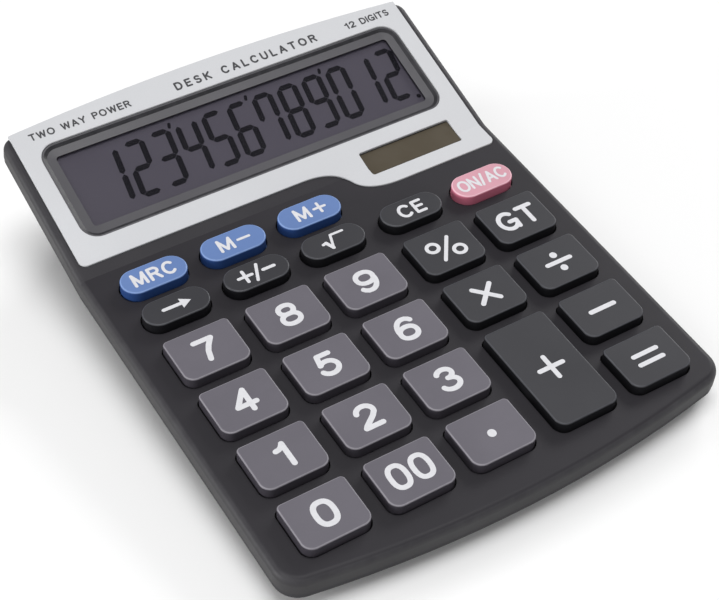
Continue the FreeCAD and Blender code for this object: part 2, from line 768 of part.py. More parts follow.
def rubber_keypad():
    """One sheet with a dome under each plunger."""
    sheet = prism(board_corners(SHEET_INSET), board_top, sheet_top)
    domes, hollows = [], []
    for _, c, y, size in KEYS:
        for place in key_plungers(y, size):
            x = columns[c]
            domes.append(cone(x, place, sheet_top, dome_top, DOME_BASE_RADIUS, DOME_TOP_RADIUS))
            low, high = board_top - 0.5, dome_top - 2 * DOME_WALL
            hollows.append(
                cone(x, place, low, high, DOME_BASE_RADIUS - DOME_WALL, DOME_TOP_RADIUS - DOME_WALL)
            )
    radius = POST_RADIUS + POST_CLEARANCE
    hollows += [disc(x, y, board_top - 1, sheet_top + 1, radius) for x, y in BOARD_POSTS]
    return on_deck(sheet.multiFuse(domes).cut(Part.makeCompound(hollows)).removeSplitter())


def pan_screw(x, y, seat, length):
    """A small pan-head screw that points up from its seat."""
    r, face = BOARD_SCREW_PILOT - SHANK_GAP, seat - BOARD_SCREW_HEAD_HEIGHT
    neck, end = seat + length - BOARD_SCREW_TIP, seat + length
    head = round_bottom(disc(x, y, face, seat, BOARD_SCREW_HEAD_RADIUS), BOARD_SCREW_HEAD_EDGE)
    screw = head.fuse(disc(x, y, (face + seat) / 2, neck, r))
    screw = screw.fuse(cone(x, y, neck, end, r, SCREW_POINT))
    recess = cross_recess(x, y, face, BOARD_RECESS_DEPTH, BOARD_RECESS_REACH)
    return screw.cut(recess).removeSplitter()


def cross_recess(x, y, face, depth, reach):
    """The cross in a screw head whose face looks down."""
    arm = reach / 4
    one = block(x - reach, x + reach, y - arm, y + arm, face - 1, face + depth)
    return one.fuse(block(x - arm, x + arm, y - reach, y + reach, face - 1, face + depth))


def board_screws():
    """Screws of the key board."""
    return on_deck(
        Part.makeCompound(
            [pan_screw(x, y, board_bottom, BOARD_SCREW_LENGTH) for x, y in BOARD_POSTS]
        )
    )


def display_board_screws():
    """Screws of the display board."""
    seat = display_board_top() - DISPLAY_BOARD_THICKNESS
    return on_display(
        Part.makeCompound([pan_screw(x, y, seat, BOARD_SCREW_LENGTH) for x, y in DISPLAY_POSTS])
    )


def case_screw(x, y):
    """A countersunk screw driven up through the rear cover."""
    face = tray_bottom + CASE_SCREW_SINK
    neck = face + CASE_SCREW_HEAD_HEIGHT
    r = CASE_SCREW_PILOT - SHANK_GAP
    head = cone(x, y, face, neck, CASE_SCREW_HEAD_RADIUS, r)
    top = face + CASE_SCREW_LENGTH
    shank = disc(x, y, (face + neck) / 2, top - CASE_SCREW_TIP, r)
    tip = cone(x, y, top - CASE_SCREW_TIP, top, r, SCREW_POINT)
    screw = head.fuse(shank).fuse(tip)
    recess = cross_recess(x, y, face, CASE_RECESS_DEPTH, CASE_RECESS_REACH)
    return screw.cut(recess).removeSplitter()


def case_screws():
    """The four screws that hold the rear cover."""
    made = []
    for x, y in CASE_SCREWS:
        place = on_display if y > 0 else on_deck
        made.append(place(case_screw(x, y)))
    return Part.makeCompound(made)


def screw_hole(x, y):
    """Countersunk hole for a case screw through the cover's floor."""
    clear = SCREW_HOLE_CLEARANCE
    face = tray_bottom + CASE_SCREW_SINK
    neck = face + CASE_SCREW_HEAD_HEIGHT
    r = CASE_SCREW_PILOT - SHANK_GAP + clear
    head = cone(x, y, face, neck, CASE_SCREW_HEAD_RADIUS + clear, r)
    mouth = disc(x, y, face - 1, face, CASE_SCREW_HEAD_RADIUS + clear)
    through = disc(x, y, (face + neck) / 2, cover_floor + 1, r)
    return head.fuse(mouth).fuse(through)


def base_box(inset, bottom, top):
    """The flat base under the cover's tray."""
    centre = (BASE_FRONT + BASE_REAR) / 2
    width = 2 * (BASE_HALF_WIDTH - inset)
    length = BASE_REAR - BASE_FRONT - 2 * inset
    return prism(rectangle(0, centre, width, length, BASE_CORNER - inset), bottom, top)


def well_roof():
    """Underside of the battery well's roof."""
    return battery_bottom() + BATTERY_HEIGHT + 2 * CONTACT_THICKNESS + CELL_HEADROOM


def battery_bottom():
    """Lower face of the button cell."""
    return door_top() + DOOR_GAP


def door_top():
    """Upper face of the battery door."""
    return base_bottom + DOOR_SKIN + DOOR_TONGUE_THICKNESS


def rear_cover():
    """Lower shell: tray under the casing, flat base, battery compartment, lip and hooks."""
    rim = seam - PARTING_GAP
    tray = casing_prism(COVER_INSET, tray_bottom, rim)
    tray = tray.fuse(casing_prism(COVER_RIM_INSET, -RIM_HEIGHT, rim))
    under = fold(casing_prism(COVER_INSET, -40, -RIM_HEIGHT - 0.2))
    base = base_box(0, base_bottom, 20)
    bottom = min(base.Faces, key=lambda f: f.CenterOfMass.z)
    base = base.makeFillet(BASE_EDGE, bottom.Edges)
    outer = fold(tray).fuse(base.common(under))

    inner_inset = COVER_INSET + COVER_WALL
    tray_space = fold(casing_prism(inner_inset, cover_floor, rim + 5))
    deep = fold(casing_prism(inner_inset, -40, rim + 1))
    base_space = base_box(COVER_WALL, base_top, 20).common(deep)
    shell = outer.cut(tray_space).cut(base_space)

    lip_in = CASING_WALL + LIP_GAP
    lip = casing_prism(lip_in, rim - LIP_ROOT, rim + LIP_RISE)
    lip = lip.cut(casing_prism(lip_in + LIP_THICKNESS, rim - 1, rim + LIP_RISE + 1))
    low, high = hook_heights()
    hooks = []
    for side in (-1, 1):
        x, rear = side * HOOK_X, DISPLAY_LENGTH - lip_in
        half = HOOK_WIDTH / 2
        hooks.append(block(x - half, x + half, rear - HOOK_ROOT, rear + HOOK_REACH, low, high))
    shell = shell.fuse(fold(lip.multiFuse(hooks)))

    shelf_low = door_top() + 0.5 * DOOR_GAP
    shelf_half = DOOR_HALF_WIDTH + DOOR_TONGUE + COVER_WALL
    well_r = BATTERY_RADIUS + WELL_CLEARANCE
    roof = well_roof()
    shelf = block(
        -shelf_half,
        shelf_half,
        DOOR_FRONT - COVER_WALL,
        BASE_REAR - COVER_WALL / 2,
        base_bottom + COVER_WALL / 2,
        shelf_low + SHELF_THICKNESS,
    )
    ring = disc(0, BATTERY_Y, shelf_low, roof + WELL_ROOF, well_r + WELL_WALL)
    shell = shell.fuse(shelf).fuse(ring)
    shell = shell.cut(disc(0, BATTERY_Y, base_bottom - 1, roof, well_r))
    shell = shell.cut(door_space())
    near, far = well_r - SLOT_MARGIN, well_r + WELL_WALL + SLOT_MARGIN
    half = CONTACT_WIDTH / 2 + SLOT_CLEARANCE
    front, rear = BATTERY_Y - half, BATTERY_Y + half
    shell = shell.cut(block(near, far, front, rear, battery_bottom(), roof))
    shell = shell.cut(block(-far, -near, front, rear, roof - 2 * CONTACT_THICKNESS, roof))
    seats = [
        disc(x, y, base_bottom - 1, base_bottom + FOOT_SEAT_DEPTH, FOOT_RADIUS + FOOT_CLEARANCE)
        for x, y in foot_places()
    ]
    shell = shell.cut(Part.makeCompound(seats))
    for x, y in CASE_SCREWS:
        place = on_display if y > 0 else on_deck
        shell = shell.cut(place(screw_hole(x, y)))
    return shell.removeSplitter()


def door_space():
    """Room for the battery door to slide out to the rear."""
    half, top = DOOR_HALF_WIDTH + DOOR_GAP, door_top() + 0.5 * DOOR_GAP
    front, rear = DOOR_FRONT - DOOR_GAP, BASE_REAR + 5
    skin_top = base_bottom + DOOR_SKIN
    low = block(-half, half, front, rear, base_bottom - 1, skin_top)
    groove = half + DOOR_TONGUE
    return low.fuse(block(-groove, groove, front, rear, skin_top - DOOR_GAP, top))


def battery_door():
    """Door that slides out to the rear on two tongues, with grip grooves below."""
    half = DOOR_HALF_WIDTH
    skin_top = base_bottom + DOOR_SKIN
    door = block(-half, half, DOOR_FRONT, BASE_REAR, base_bottom, skin_top)
    tongue = block(
        -half - DOOR_TONGUE,
        half + DOOR_TONGUE,
        DOOR_FRONT,
        BASE_REAR,
        skin_top,
        door_top(),
    )
    door = door.fuse(tongue)
    first, wide = BASE_REAR - GRIP_START, half - GRIP_MARGIN
    grips = [
        block(
            -wide,
            wide,
            first - n * GRIP_PITCH - GRIP_WIDTH,
            first - n * GRIP_PITCH,
            base_bottom - 1,
            base_bottom + GRIP_DEPTH,
        )
        for n in range(GRIP_COUNT)
    ]
    return door.cut(Part.makeCompound(grips)).removeSplitter()


def battery():
    """Button cell, cap side up."""
    low = battery_bottom()
    can = disc(0, BATTERY_Y, low, low + BATTERY_HEIGHT - BATTERY_CAP_HEIGHT, BATTERY_RADIUS)
    can = round_bottom(can, BATTERY_EDGE)
    cap = disc(0, BATTERY_Y, low, low + BATTERY_HEIGHT, BATTERY_CAP_RADIUS)
    return can.fuse(cap).removeSplitter()


def foot_places():
    """Centres of the four feet."""
    return [(x, y) for y in (FOOT_FRONT, FOOT_REAR) for x in (-FOOT_X, FOOT_X)]


def rubber_feet():
    """Four round feet in shallow seats."""
    feet = []
    for x, y in foot_places():
        foot = disc(x, y, -fold_height, base_bottom + FOOT_SEAT_DEPTH, FOOT_RADIUS)
        feet.append(round_bottom(foot, FOOT_EDGE))
    return Part.makeCompound(feet)


def positive_contact():
    """Upright strip beside the cell with a solder tab on top."""
    low = battery_bottom() + CONTACT_LIFT
    x, bend = BATTERY_RADIUS + CONTACT_GAP, low + CONTACT_HEIGHT - CONTACT_THICKNESS
    front, rear = BATTERY_Y - CONTACT_WIDTH / 2, BATTERY_Y + CONTACT_WIDTH / 2
    strip = block(x, x + CONTACT_THICKNESS, front, rear, low, low + CONTACT_HEIGHT)
    foot = block(x, tab_place, front, rear, bend, low + CONTACT_HEIGHT)
    tab = block(tab_place, tab_place + CONTACT_THICKNESS, front, rear, bend, tab_top_height())
    return strip.fuse(foot).fuse(tab).removeSplitter()


def tab_top_height():
    """Upper end of both solder tabs."""
    return well_roof() + WELL_ROOF + TAB_RISE


def negative_contact():
    """Strip under the well's roof, out through the wall to a solder tab."""
    high = well_roof() - TOUCH_GAP
    low = high - CONTACT_THICKNESS
    front, rear = BATTERY_Y - CONTACT_WIDTH / 2, BATTERY_Y + CONTACT_WIDTH / 2
    strip = block(-tab_place, CONTACT_REACH, front, rear, low, high)
    tab = block(-tab_place - CONTACT_THICKNESS, -tab_place, front, rear, low, tab_top_height())
    return strip.fuse(tab).removeSplitter()


def solar_frame(flat):
    """Place a shape that lies midway between deck and display section."""
    return turned(flat, DECK_TILT + half_fold)


def solar_centre():
    """Middle of the solar window in its tilted frame."""
    return (SOLAR_FRONT + SOLAR_REAR) / 2 * math.cos(math.radians(half_fold))


def solar_window():
    """Clear window over the solar cell: a boss in the opening and a flange below."""
    length = (SOLAR_REAR - SOLAR_FRONT) * math.cos(math.radians(half_fold))
    width, middle = SOLAR_WIDTH - 2 * SOLAR_CLEARANCE, solar_centre()
    corner = SOLAR_CORNER - SOLAR_CLEARANCE
    boss = rectangle(SOLAR_CENTRE, middle, width, length - 4 * SOLAR_CLEARANCE, corner)
    width, length = SOLAR_WIDTH + 2 * SOLAR_FLANGE, length + 2 * SOLAR_FLANGE
    flange = rectangle(SOLAR_CENTRE, middle, width, length, SOLAR_CORNER)
    top = solar_flange_top()
    low = top - SOLAR_FLANGE_THICKNESS
    window = prism(boss, (low + top) / 2, SOLAR_RISE).fuse(prism(flange, low, top))
    return solar_frame(window.removeSplitter())


def solar_flange_top():
    """Upper face of the solar window's flange, below the casing's top wall."""
    return -CASING_TOP / math.cos(math.radians(half_fold)) - TOUCH_GAP


def solar_cell_top():
    """Upper face of the solar cell."""
    return solar_flange_top() - SOLAR_FLANGE_THICKNESS


def solar_cell():
    """Glass plate of the solar cell."""
    top = solar_cell_top()
    size = SOLAR_CELL_WIDTH, SOLAR_CELL_LENGTH
    outline = rectangle(SOLAR_CENTRE, solar_centre(), size[0], size[1], SOLAR_CELL_CORNER)
    return solar_frame(prism(outline, top - SOLAR_CELL_THICKNESS, top))


def chip_blob():
    """Resin dome over the bonded chip."""
    face = display_board_top() - DISPLAY_BOARD_THICKNESS
    ball = (CHIP_RADIUS**2 + CHIP_HEIGHT**2) / (2 * CHIP_HEIGHT)
    dome = Part.makeSphere(ball, V(*CHIP_PLACE, face + ball - CHIP_HEIGHT))
    return on_display(dome.common(block(-40, 40, 0, 40, face - 5, face)))


def capacitor():
    """Electrolytic capacitor lying on the display board."""
    face = display_board_top() - DISPLAY_BOARD_THICKNESS
    can = Part.makeCylinder(
        CAPACITOR_RADIUS,
        CAPACITOR_LENGTH,
        V(*CAPACITOR_PLACE, face - CAPACITOR_RADIUS),
        V(1, 0, 0),
    )
    return on_display(can)


def diode():
    """Glass diode lying on the display board."""
    face = display_board_top() - DISPLAY_BOARD_THICKNESS
    return on_display(
        Part.makeCylinder(DIODE_RADIUS, DIODE_LENGTH, V(*DIODE_PLACE, face - DIODE_RADIUS), V(1, 0, 0))
    )


def chip_resistors():
    """Three chip resistors on the display board."""
    face = display_board_top() - DISPLAY_BOARD_THICKNESS
    w, d, h = RESISTOR_SIZE
    return on_display(
        Part.makeCompound(
            [block(x, x + w, y, y + d, face - h, face) for x, y in RESISTOR_PLACES]
        )
    )


def ribbon_cable():
    """Flat cable across the fold, soldered under both boards."""
    face = display_board_top() - DISPLAY_BOARD_THICKNESS - CABLE_GAP
    reaches = (CABLE_END, CABLE_EDGE)
    upper = [display_point(0, DISPLAY_BOARD_FRONT + reach, face) for reach in reaches]
    flat_z = board_bottom - CABLE_GAP
    lower = [tilted(DECK_TILT, 0, BOARD_REAR - reach, flat_z) for reach in reversed(reaches)]
    near, far = upper[1], lower[0]
    sag = [near + (far - near) * part - V(0, 0, CABLE_SAG) for part in CABLE_SAG_PLACES]
    line = [(p.y, p.z) for p in upper + sag + lower]
    low = [(y, z - CABLE_THICKNESS) for y, z in reversed(line)]
    left = CABLE_X - CABLE_WIDTH / 2
    points = [V(left, y, z) for y, z in line + low]
    return Part.Face(Part.makePolygon(points + points[:1])).extrude(V(CABLE_WIDTH, 0, 0))


def battery_wires():
    """Two wires from the contacts' tabs up to the display board, square to both."""
    face = display_board_top() - DISPLAY_BOARD_THICKNESS - TOUCH_GAP
    low = tab_top_height() + TOUCH_GAP
    x = tab_place + CONTACT_THICKNESS / 2
    arrive = display_point(0, 0, 1)
    made = []
    for side, end_y in zip((1, -1), BATTERY_WIRE_ENDS):
        start, end = V(side * x, BATTERY_Y, low), display_point(side * x, end_y, face)
        middle = (start + end) * 0.5 + V(side * BATTERY_WIRE_BOW, 0, 0)
        made.append(wire_along([start, middle, end], V(0, 0, 1), arrive, WIRE_RADIUS))
    return made


def solar_wires():
    """Two short wires from the solar cell down to the display board, square to both."""
    top = display_board_top() + TOUCH_GAP
    low = solar_cell_top() - SOLAR_CELL_THICKNESS - TOUCH_GAP
    cell_tilt = DECK_TILT + half_fold
    leave, arrive = tilted(cell_tilt, 0, 0, -1), display_point(0, 0, -1)
    made = []
    for x in SOLAR_WIRE_PLACES:
        ends = [tilted(cell_tilt, x, SOLAR_WIRE_START, low), display_point(x, SOLAR_WIRE_END, top)]
        made.append(wire_along(ends, leave, arrive, WIRE_RADIUS))
    return made


def build():
    """All pieces, with the fold line as the origin."""
    pieces = {name: on_deck(key_cap(columns[c], y, size)) for name, c, y, size in KEYS}
    battery_plus, battery_minus = battery_wires()
    solar_plus, solar_minus = solar_wires()
    pieces.update(
        {
            "front_casing": front_casing(),
            "rear_cover": rear_cover(),
            "display_plate": display_plate(),
            "plate_adhesive": plate_adhesive(),
            "display_bezel": display_bezel(),
            "display_lens": display_lens(),
            "lcd_panel": lcd_panel(),
            "lcd_reflector": lcd_reflector(),
            "lcd_connector": lcd_connector(),
            "display_board": display_board(),
            "key_board": key_board(),
            "rubber_keypad": rubber_keypad(),
            "board_screws": board_screws(),
            "display_board_screws": display_board_screws(),
            "case_screws": case_screws(),
            "rubber_feet": rubber_feet(),
            "battery_door": battery_door(),
            "battery": battery(),
            "positive_contact": positive_contact(),
            "negative_contact": negative_contact(),
            "solar_window": solar_window(),
            "solar_cell": solar_cell(),
            "chip_blob": chip_blob(),
            "capacitor": capacitor(),
            "diode": diode(),
            "chip_resistors": chip_resistors(),
            "ribbon_cable": ribbon_cable(),
            "battery_wire_plus": battery_plus,
            "battery_wire_minus": battery_minus,
            "solar_wire_plus": solar_plus,
            "solar_wire_minus": solar_minus,
        }
    )
    return pieces


pieces = build()
spread = Part.makeCompound([pieces[n] for n in ("front_casing", "rear_cover", "display_plate")])
extent = spread.optimalBoundingBox(False)
shift = V(0, -(extent.YMin + extent.YMax) / 2, fold_height)
os.makedirs("parts", exist_ok=True)
for name, shape in pieces.items():
    shape.translate(shift)
    shape.exportStep("parts/" + name + ".step")
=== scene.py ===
import json
import math

import bpy
from mathutils import Matrix, Vector


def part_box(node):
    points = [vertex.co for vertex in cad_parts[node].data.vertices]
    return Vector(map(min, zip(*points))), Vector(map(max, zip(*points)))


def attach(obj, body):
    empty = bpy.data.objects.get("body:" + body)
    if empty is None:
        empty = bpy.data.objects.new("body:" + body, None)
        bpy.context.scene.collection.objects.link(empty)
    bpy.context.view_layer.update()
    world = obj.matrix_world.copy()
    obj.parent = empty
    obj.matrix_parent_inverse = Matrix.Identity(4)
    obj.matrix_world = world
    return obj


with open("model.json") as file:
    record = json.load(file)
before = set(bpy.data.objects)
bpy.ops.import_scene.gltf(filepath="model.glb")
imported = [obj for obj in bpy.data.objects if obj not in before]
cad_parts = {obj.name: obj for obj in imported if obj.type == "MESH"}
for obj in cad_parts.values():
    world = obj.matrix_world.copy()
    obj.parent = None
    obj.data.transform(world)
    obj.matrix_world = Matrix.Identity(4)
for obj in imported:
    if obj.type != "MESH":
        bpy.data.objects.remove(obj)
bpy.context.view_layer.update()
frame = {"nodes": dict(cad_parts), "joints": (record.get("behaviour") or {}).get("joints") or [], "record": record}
nodes = frame["nodes"]
joints = {j["child"]: j for j in frame["joints"]}

MM = 0.001  # metres
FOLD_ANGLE = math.radians(14.4)  # between the key deck and the display section
deck_up = -Vector(joints["key_9_cap"]["axis"])
DECK_TILT = math.atan2(-deck_up.y, deck_up.z)
DISPLAY_TILT = DECK_TILT + FOLD_ANGLE
display_up = Vector((0, -math.sin(DISPLAY_TILT), math.cos(DISPLAY_TILT)))


# ---------------------------------------------------------------- frames
class Plane:
    """A flat surface with x to the right, y up the slope and z out of it."""

    def __init__(self, origin, tilt):
        self.matrix = Matrix.Translation(origin) @ Matrix.Rotation(tilt, 4, "X")

    def at(self, x, y, z=0.0):
        """The point in the row frame for millimetres on the surface."""
        return self.matrix @ Vector((x * MM, y * MM, z * MM))


def top_of(name, tilt):
    """The middle of a node's top face, for a piece that is tilted about X."""
    turn = Matrix.Rotation(-tilt, 3, "X")
    points = [turn @ v.co for v in nodes[name].data.vertices]
    low = [min(p[i] for p in points) for i in range(3)]
    high = [max(p[i] for p in points) for i in range(3)]
    middle = Vector(((low[0] + high[0]) / 2, (low[1] + high[1]) / 2, high[2]))
    return Matrix.Rotation(tilt, 3, "X") @ middle


def height_at(name, up, behind):
    """How far a node reaches along a direction, in the part of it behind a y."""
    return max(v.co.dot(up) for v in nodes[name].data.vertices if v.co.y > behind)


key_planes = {
    name: Plane(top_of(name, DECK_TILT), DECK_TILT)
    for name in nodes
    if name.startswith("key_") and name != "key_board"
}
lcd_plane = Plane(top_of("lcd_panel", DISPLAY_TILT), DISPLAY_TILT)
lens_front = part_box("display_lens")[0].y
lens_to_plate = height_at("display_plate", display_up, lens_front) - height_at(
    "display_lens", display_up, lens_front
)
plate_plane = Plane(
    top_of("display_lens", DISPLAY_TILT) + display_up * lens_to_plate, DISPLAY_TILT
)


# ---------------------------------------------------------------- materials
def shader(name, **values):
    """A material with a Principled shader and the given inputs."""
    mat = bpy.data.materials.new(name)
    mat.use_nodes = True
    tree = mat.node_tree
    bsdf = tree.nodes["Principled BSDF"]
    for key, value in values.items():
        bsdf.inputs[key.replace("_", " ")].default_value = value
    return mat, tree, bsdf


def node(tree, kind, **settings):
    """A new node with the given inputs and properties."""
    made = tree.nodes.new(kind)
    for key, value in settings.items():
        if key in made.inputs:
            made.inputs[key].default_value = value
        else:
            setattr(made, key, value)
    return made


def coords(tree):
    """Object coordinates: metres in the row frame, as at rest."""
    return node(tree, "ShaderNodeTexCoord").outputs["Object"]


def noise(tree, where, scale, detail=2.0, rough=0.5):
    """The factor of a noise whose scale counts waves per metre."""
    made = node(tree, "ShaderNodeTexNoise", Scale=scale, Detail=detail, Roughness=rough)
    tree.links.new(where, made.inputs["Vector"])
    return made.outputs["Fac"]


def ramp(tree, source, low, high, a=0.0, b=1.0):
    """Source remapped from low..high to a..b."""
    ends = {"From Min": low, "From Max": high, "To Min": a, "To Max": b}
    made = node(tree, "ShaderNodeMapRange", **ends)
    tree.links.new(source, made.inputs["Value"])
    return made.outputs["Result"]


def blend_colour(tree, factor, a, b):
    """Mix of two colours (or sockets) by a factor socket."""
    made = node(tree, "ShaderNodeMix", data_type="RGBA")
    tree.links.new(factor, made.inputs[0])
    for socket, value in ((made.inputs[6], a), (made.inputs[7], b)):
        if isinstance(value, (tuple, list)):
            socket.default_value = (*value[:3], 1.0)
        else:
            tree.links.new(value, socket)
    return made.outputs[2]


def arith(tree, kind, a, b):
    """A Math node on two sockets or numbers."""
    made = node(tree, "ShaderNodeMath", operation=kind)
    for socket, value in zip(made.inputs, (a, b)):
        if isinstance(value, (int, float)):
            socket.default_value = value
        else:
            tree.links.new(value, socket)
    return made.outputs[0]


def bump(tree, bsdf, height, distance, strength):
    """Fine relief from a height socket, its distance in metres."""
    made = node(tree, "ShaderNodeBump", Strength=strength, Distance=distance)
    tree.links.new(height, made.inputs["Height"])
    tree.links.new(made.outputs["Normal"], bsdf.inputs["Normal"])


def srgb(r, g, b):
    """Linear colour of an 8-bit sRGB one."""
    return tuple(
        c / 12.92 if c <= 0.04045 else ((c + 0.055) / 1.055) ** 2.4
        for c in (v / 255 for v in (r, g, b))
    )


def scaled(colour, k):
    """The colour made darker or paler."""
    return tuple(c * k for c in colour)


USUAL = (0.3, 0.7)  # nearly all of a noise's values lie between these


def mottled(tree, source, colour, dark, light, span=USUAL):
    """A colour that wanders between two shares of itself."""
    share = ramp(tree, source, *span)
    return blend_colour(tree, share, scaled(colour, dark), scaled(colour, light))


def coat(tree, bsdf, base, sheen, low, high):
    """Give the shader its colour, and a roughness that wanders between two values."""
    tree.links.new(base, bsdf.inputs["Base Color"])
    tree.links.new(ramp(tree, sheen, *USUAL, low, high), bsdf.inputs["Roughness"])


def facing(tree, directions):
    """How squarely the surface faces the nearest of some directions: 1 on top, 0 on a side."""
    normal = node(tree, "ShaderNodeTexCoord").outputs["Normal"]
    found = None
    for direction in directions:
        dot = node(tree, "ShaderNodeVectorMath", operation="DOT_PRODUCT")
        tree.links.new(normal, dot.inputs[0])
        dot.inputs[1].default_value = direction
        value = dot.outputs["Value"]
        found = value if found is None else arith(tree, "MAXIMUM", found, value)
    return found


def moulded(name, colour, rough, grain, depth, rim=None):
    """Moulded plastic: spark-eroded grain (size and depth in mm), mottling, dust and sheen.

    With rim = (directions, side colour, edge colour) the faces away from the directions have the side colour,
    a painted shade (painted light on the casing's paler walls), and the rounded edge between has the paler edge
    colour in noisy patches, a painted highlight (on the bezel, a lighter painted shade).
    """
    mat, tree, bsdf = shader(name, Roughness=rough, Specular_IOR_Level=0.25)
    where = coords(tree)
    cloud = noise(tree, where, 60.0, 4.0, 0.6)
    speck = noise(tree, where, 1800.0, 3.0, 0.7)
    base = mottled(tree, cloud, colour, 0.94, 1.06)
    dust = ramp(tree, speck, 0.62, 0.8, 0.0, 0.25)
    base = blend_colour(tree, dust, base, scaled(colour, 1.4))
    if rim:
        directions, side, edge = rim
        up = facing(tree, directions)
        # Painted highlight along the rounded edge, broken into noisy patches; paler than the side colour.
        painted_edge_patches = ramp(tree, noise(tree, where, 260.0, 4.0, 0.7), *USUAL, 0.55, 1.0)
        share = arith(tree, "MULTIPLY", ramp(tree, up, 0.996, 0.93), painted_edge_patches)
        base = blend_colour(tree, share, base, edge)
        # Painted shade: faces turned away from the directions take the side colour (paler painted light on the
        # casing).
        base = blend_colour(tree, ramp(tree, up, 0.25, 0.72), side, base)
    wipe = noise(tree, where, 35.0, 3.0, 0.55)
    coat(tree, bsdf, base, wipe, rough - 0.05, rough + 0.07)
    bump(tree, bsdf, noise(tree, where, 1.0 / (grain * MM), 2.0, 0.6), depth * MM, 0.6)
    return mat


def brushed(name, colour, rough, along="X", metal=1.0):
    """Metal with fine lines along an axis."""
    mat, tree, bsdf = shader(name, Metallic=metal, Roughness=rough)
    where = coords(tree)
    stretch = node(tree, "ShaderNodeMapping")
    tree.links.new(where, stretch.inputs["Vector"])
    scale = [40 if axis == along else 4000 for axis in "XYZ"]
    stretch.inputs["Scale"].default_value = scale
    lines = noise(tree, stretch.outputs["Vector"], 1.0, 3.0, 0.6)
    cloud = noise(tree, where, 45.0, 3.0)
    line_part = arith(tree, "MULTIPLY", lines, 0.6)
    cloud_part = arith(tree, "MULTIPLY", cloud, 0.4)
    sheen = arith(tree, "ADD", line_part, cloud_part)
    base = mottled(tree, lines, colour, 0.94, 1.05)
    coat(tree, bsdf, base, sheen, rough - 0.06, rough + 0.08)
    bump(tree, bsdf, lines, 0.004 * MM, 0.4)
    return mat


def rubber(name, colour, rough):
    """Matt rubber with a bloom and fine pores."""
    mat, tree, bsdf = shader(name, Roughness=rough)
    where = coords(tree)
    bloom = noise(tree, where, 120.0, 5.0, 0.65)
    base = mottled(tree, bloom, colour, 1.0, 1.5, (0.35, 0.75))
    coat(tree, bsdf, base, bloom, rough - 0.08, rough + 0.1)
    bump(tree, bsdf, noise(tree, where, 5000.0, 2.0), 0.02 * MM, 0.7)
    return mat


def silver_plate(name):
    """Satin silver sheet: pale, nearly even, with a faint fine grain."""
    colour = srgb(197, 198, 201)
    mat, tree, bsdf = shader(name, Metallic=0.1, Roughness=0.55, Specular_IOR_Level=0.3)
    where = coords(tree)
    grain = noise(tree, where, 9000.0, 2.0, 0.6)
    cloud = noise(tree, where, 40.0, 3.0, 0.5)
    base = mottled(tree, grain, colour, 0.95, 1.03)
    base = blend_colour(tree, ramp(tree, cloud, *USUAL, 0.0, 0.25), base, scaled(colour, 0.93))
    coat(tree, bsdf, base, cloud, 0.5, 0.6)
    bump(tree, bsdf, grain, 0.006 * MM, 0.35)
    return mat


def clear(name, tint, cover, rough):
    """Clear plastic window: see-through by its cover, with a faint smudged gloss."""
    mat, tree, bsdf = shader(name, Roughness=rough, Alpha=cover, Specular_IOR_Level=0.3)
    smudge = noise(tree, coords(tree), 80.0, 5.0, 0.6)
    base = blend_colour(tree, smudge, scaled(tint, 0.9), scaled(tint, 1.1))
    tree.links.new(base, bsdf.inputs["Base Color"])
    tree.links.new(ramp(tree, smudge, 0.4, 0.75, rough, rough + 0.15), bsdf.inputs["Roughness"])
    bump(tree, bsdf, smudge, 0.002 * MM, 0.2)
    return mat


def lcd_glass(name):
    """Twisted-nematic panel: grey violet with a faint electrode shimmer."""
    colour = srgb(73, 69, 81)
    mat, tree, bsdf = shader(name, Roughness=0.5, Specular_IOR_Level=0.2)
    where = coords(tree)
    cloud = noise(tree, where, 25.0, 3.0, 0.5)
    fine = noise(tree, where, 3500.0, 2.0, 0.5)
    base = mottled(tree, cloud, colour, 0.94, 1.06)
    base = blend_colour(tree, ramp(tree, fine, 0.4, 0.7, 0.0, 0.3), base, scaled(colour, 1.12))
    coat(tree, bsdf, base, cloud, 0.45, 0.55)
    bump(tree, bsdf, fine, 0.003 * MM, 0.3)
    return mat


def solar_glass(name):
    """Amorphous silicon: brown olive, four strips with thin scribed lines."""
    dark, light = srgb(84, 75, 60), srgb(104, 94, 76)
    mat, tree, bsdf = shader(name, Roughness=0.25)
    where = coords(tree)
    split = node(tree, "ShaderNodeSeparateXYZ")
    tree.links.new(where, split.inputs[0])
    low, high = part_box("solar_cell")
    strip = (high.x - low.x) / 4
    place = arith(tree, "DIVIDE", arith(tree, "SUBTRACT", split.outputs["X"], low.x), strip)
    from_middle = arith(tree, "SUBTRACT", arith(tree, "FRACT", place, 0), 0.5)
    line = ramp(tree, arith(tree, "ABSOLUTE", from_middle, 0), 0.475, 0.49)
    cloud = noise(tree, where, 300.0, 3.0, 0.5)
    base = blend_colour(tree, ramp(tree, cloud, *USUAL), dark, light)
    base = blend_colour(tree, line, base, scaled(dark, 0.7))
    coat(tree, bsdf, base, cloud, 0.2, 0.32)
    bump(tree, bsdf, line, 0.01 * MM, 0.5)
    return mat


def circuit_board(name):
    """Green solder mask over a weave, with darker bare patches."""
    colour = (0.018, 0.085, 0.035)
    mat, tree, bsdf = shader(name, Roughness=0.35)
    where = coords(tree)
    cells = node(tree, "ShaderNodeTexVoronoi", feature="DISTANCE_TO_EDGE", Scale=350.0)
    tree.links.new(where, cells.inputs["Vector"])
    cloud = noise(tree, where, 200.0, 3.0)
    base = mottled(tree, cells.outputs[0], colour, 1.7, 1.0, (0.0, 0.12))
    base = blend_colour(tree, ramp(tree, cloud, 0.35, 0.7, 0, 0.5), base, scaled(colour, 0.7))
    coat(tree, bsdf, base, cloud, 0.3, 0.45)
    bump(tree, bsdf, noise(tree, where, 2500.0, 2.0), 0.01 * MM, 0.5)
    return mat


